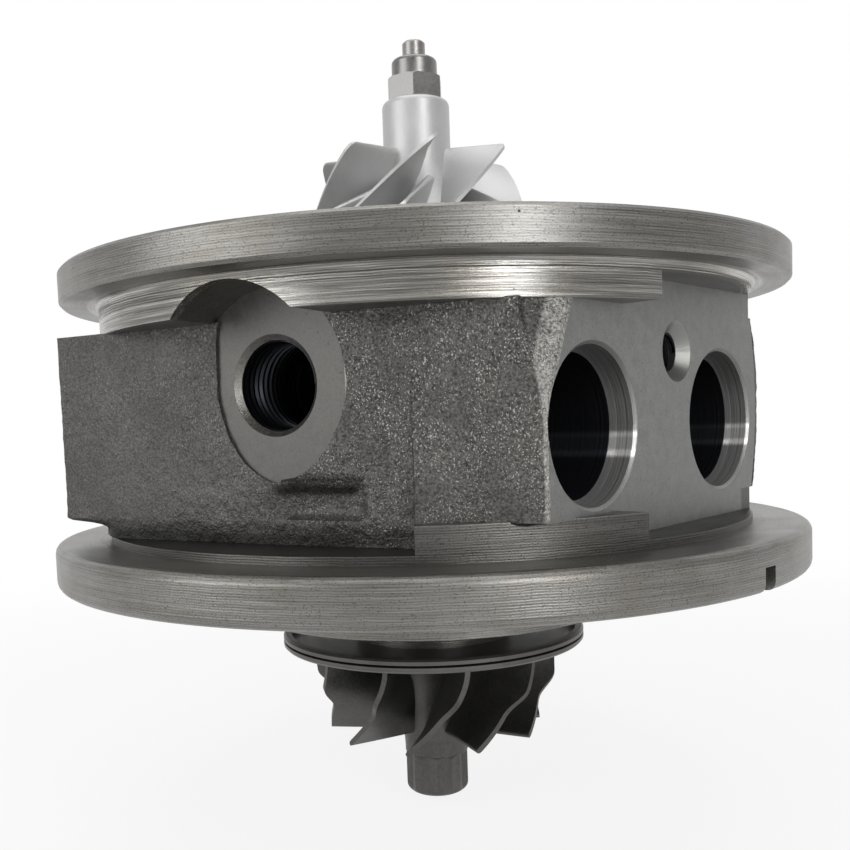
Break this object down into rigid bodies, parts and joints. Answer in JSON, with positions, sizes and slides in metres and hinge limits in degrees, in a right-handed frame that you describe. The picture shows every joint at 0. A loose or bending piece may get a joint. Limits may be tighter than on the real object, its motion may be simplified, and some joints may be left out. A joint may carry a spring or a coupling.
{
  "type": "turbocharger cartridge",
  "caption": "Turbocharger centre cartridge: water-cooled iron bearing housing between two round flanges, with a rotor that spins in floating bushes.",
  "frame": {"origin": "on the rotor axis, in the plane of the turbine flange's seating face", "axes": "+Z along the rotor axis towards the compressor; -Y is the side of the housing with the oil inlet that faces the camera"},
  "size_m": [0.11, 0.11, 0.1147],
  "materials": {
    "cast_iron": "sand-cast body with turned and milled faces",
    "shield_steel": "pressed heat-resistant sheet, dark",
    "turbine_alloy": "investment-cast nickel alloy, dark and matt",
    "shaft_steel": "ground steel",
    "nut_steel": "plain steel, greyer than the wheel",
    "ring_iron": "fine-turned alloy iron",
    "spring_steel": "blued spring steel",
    "bearing_bronze": "turned bearing bronze",
    "sleeve_steel": "ground steel",
    "sheet_steel": "pressed sheet",
    "plate_aluminium": "turned",
    "seal_rubber": "smooth moulded",
    "wheel_aluminium": "cast and machined, satin"
  },
  "bodies": {
    "cartridge": {"bearing_housing": "cast_iron", "heat_shield": "shield_steel", "turbine_piston_ring": "ring_iron", "bearing_circlips": "spring_steel", "thrust_bearing": "bearing_bronze", "thrust_bearing_pins": "shaft_steel", "oil_deflector": "sheet_steel", "compressor_piston_ring": "ring_iron", "seal_plate": "plate_aluminium", "seal_plate_o_ring": "seal_rubber", "seal_plate_snap_ring": "spring_steel"},
    "rotor": {"rotor_shaft": "shaft_steel", "turbine_wheel": "turbine_alloy", "compressor_wheel": "wheel_aluminium", "compressor_nut": "nut_steel", "thrust_collar": "sleeve_steel", "thrust_spacer": "sleeve_steel", "seal_sleeve": "sleeve_steel"},
    "turbine_bush": {"turbine_journal_bearing": "bearing_bronze"},
    "compressor_bush": {"compressor_journal_bearing": "bearing_bronze"}
  },
  "joints": [
    {"name": "rotor_spin", "type": "hinge", "parent": "cartridge", "child": "rotor", "pos_m": [0, 0, 0], "axis": [0, 0, 1], "continuous": true},
    {"name": "turbine_bush_spin", "type": "hinge", "parent": "cartridge", "child": "turbine_bush", "pos_m": [0, 0, 0], "axis": [0, 0, 1], "continuous": true},
    {"name": "compressor_bush_spin", "type": "hinge", "parent": "cartridge", "child": "compressor_bush", "pos_m": [0, 0, 0], "axis": [0, 0, 1], "continuous": true}
  ]
}
